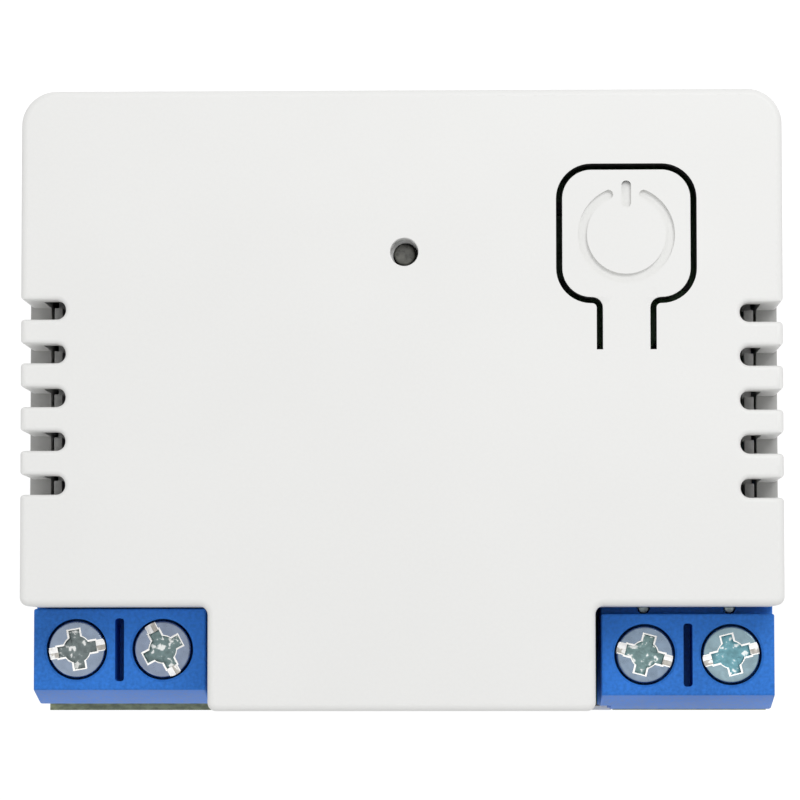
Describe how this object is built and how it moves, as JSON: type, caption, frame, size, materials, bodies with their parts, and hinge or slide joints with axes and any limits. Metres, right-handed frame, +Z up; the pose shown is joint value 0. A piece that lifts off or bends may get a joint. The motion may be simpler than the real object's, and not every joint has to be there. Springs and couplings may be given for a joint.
{
  "type": "remote control relay",
  "caption": "Small white mains relay module with corner screw terminals, side vents, a status light and a sprung button tongue cut into its cover.",
  "frame": {"origin": "under the middle of the case, on the surface it stands on", "axes": "+Z up out of the button face, +Y from the terminals to the back edge, +X to the right with the terminals towards the viewer"},
  "size_m": [0.0434, 0.0355, 0.02],
  "materials": {
    "cover_white": "fine matt moulded, white",
    "base_white": "fine matt moulded, white",
    "block_blue": "satin moulded, blue",
    "board_green": "solder mask, green",
    "zinc_steel": "zinc plated",
    "tin_brass": "tinned",
    "iron": "soft iron, plated",
    "copper": "enamelled wire",
    "bronze": "spring bronze",
    "silver": "silver alloy",
    "relay_black": "moulded, black",
    "bobbin_plastic": "moulded, natural",
    "black_plastic": "moulded, black",
    "capacitor_sleeve": "shrink sleeve",
    "can_aluminium": "drawn can",
    "ferrite": "sintered ferrite",
    "varistor_coat": "epoxy coat",
    "fuse_coat": "cement coat",
    "antenna_ceramic": "ceramic",
    "smoke_plastic": "smoke-grey light pipe",
    "led_body": "clear resin",
    "plunger_white": "moulded",
    "dome_steel": "spring steel"
  },
  "bodies": {
    "case": {"base_plate": "base_white", "bridge_rectifier": "black_plastic", "bulk_capacitor_1": "capacitor_sleeve", "bulk_capacitor_2": "capacitor_sleeve", "chip_antenna": "antenna_ceramic", "contact_bar_1": "tin_brass", "contact_bar_2": "tin_brass", "contact_bar_3": "tin_brass", "contact_bar_4": "tin_brass", "crystal": "can_aluminium", "driver_transistor": "black_plastic", "fuse_resistor": "fuse_coat", "header_body": "black_plastic", "header_pins": "tin_brass", "inductor_winding": "copper", "light_pipe": "smoke_plastic", "memory_chip": "black_plastic", "output_capacitor": "can_aluminium", "power_board": "board_green", "power_inductor": "ferrite", "radio_board": "board_green", "radio_chip": "black_plastic", "regulator_chip": "black_plastic", "relay_base": "relay_black", "relay_bobbin": "bobbin_plastic", "relay_coil_pins": "tin_brass", "relay_common_pins": "tin_brass", "relay_core": "iron", "relay_cover": "relay_black", "relay_fixed_contact": "tin_brass", "relay_hinge_spring": "bronze", "relay_winding": "copper", "relay_yoke": "iron", "status_led": "led_body", "support_header_body": "black_plastic", "support_header_pins": "tin_brass", "tact_dome": "dome_steel", "tact_switch_body": "black_plastic", "terminal_housing_left": "block_blue", "terminal_housing_right": "block_blue", "top_cover": "cover_white", "varistor": "varistor_coat"},
    "button": {"button_tongue": "cover_white"},
    "switch_plunger": {"tact_plunger": "plunger_white"},
    "relay_lever": {"relay_armature": "iron", "relay_contact_leaf": "bronze", "relay_moving_contact": "silver"},
    "screw_1": {"terminal_screw_1": "zinc_steel"},
    "cage_1": {"clamp_cage_1": "zinc_steel"},
    "screw_2": {"terminal_screw_2": "zinc_steel"},
    "cage_2": {"clamp_cage_2": "zinc_steel"},
    "screw_3": {"terminal_screw_3": "zinc_steel"},
    "cage_3": {"clamp_cage_3": "zinc_steel"},
    "screw_4": {"terminal_screw_4": "zinc_steel"},
    "cage_4": {"clamp_cage_4": "zinc_steel"}
  },
  "joints": [
    {"name": "button_press", "type": "hinge", "parent": "case", "child": "button", "pos_m": [0.01282, 0.00279, 0.0191], "axis": [-1, 0, 0], "range_deg": [0, 2.62], "stiffness_Nm_per_rad": 0.0006, "springref_deg": -1},
    {"name": "plunger_travel", "type": "slide", "parent": "case", "child": "switch_plunger", "axis": [0, 0, -1], "range_m": [0, 0.0003]},
    {"name": "relay_pull_in", "type": "hinge", "parent": "case", "child": "relay_lever", "pos_m": [-0.01382, 0.00889, 0.015], "axis": [1, 0, 0], "range_deg": [0, 2.5], "stiffness_Nm_per_rad": 0.002, "springref_deg": -2.01},
    {"name": "screw_1_turn", "type": "hinge", "parent": "case", "child": "screw_1", "pos_m": [-0.01898, -0.01417, 0.0132], "axis": [0, 0, -1], "range_deg": [0, 1922]},
    {"name": "cage_1_lift", "type": "slide", "parent": "case", "child": "cage_1", "axis": [0, 0, 1], "range_m": [0, 0.0024]},
    {"name": "screw_2_turn", "type": "hinge", "parent": "case", "child": "screw_2", "pos_m": [-0.01398, -0.01417, 0.0132], "axis": [0, 0, -1], "range_deg": [0, 1922]},
    {"name": "cage_2_lift", "type": "slide", "parent": "case", "child": "cage_2", "axis": [0, 0, 1], "range_m": [0, 0.0024]},
    {"name": "screw_3_turn", "type": "hinge", "parent": "case", "child": "screw_3", "pos_m": [0.01398, -0.0145, 0.0132], "axis": [0, 0, -1], "range_deg": [0, 1922]},
    {"name": "cage_3_lift", "type": "slide", "parent": "case", "child": "cage_3", "axis": [0, 0, 1], "range_m": [0, 0.0024]},
    {"name": "screw_4_turn", "type": "hinge", "parent": "case", "child": "screw_4", "pos_m": [0.01898, -0.0145, 0.0132], "axis": [0, 0, -1], "range_deg": [0, 1922]},
    {"name": "cage_4_lift", "type": "slide", "parent": "case", "child": "cage_4", "axis": [0, 0, 1], "range_m": [0, 0.0024]}
  ],
  "couplings": [
    {"joint": "button_press", "follows": "plunger_travel", "rad_per_m": 151.06},
    {"joint": "screw_1_turn", "follows": "cage_1_lift", "rad_per_m": 13963},
    {"joint": "screw_2_turn", "follows": "cage_2_lift", "rad_per_m": 13963},
    {"joint": "screw_3_turn", "follows": "cage_3_lift", "rad_per_m": 13963},
    {"joint": "screw_4_turn", "follows": "cage_4_lift", "rad_per_m": 13963}
  ]
}
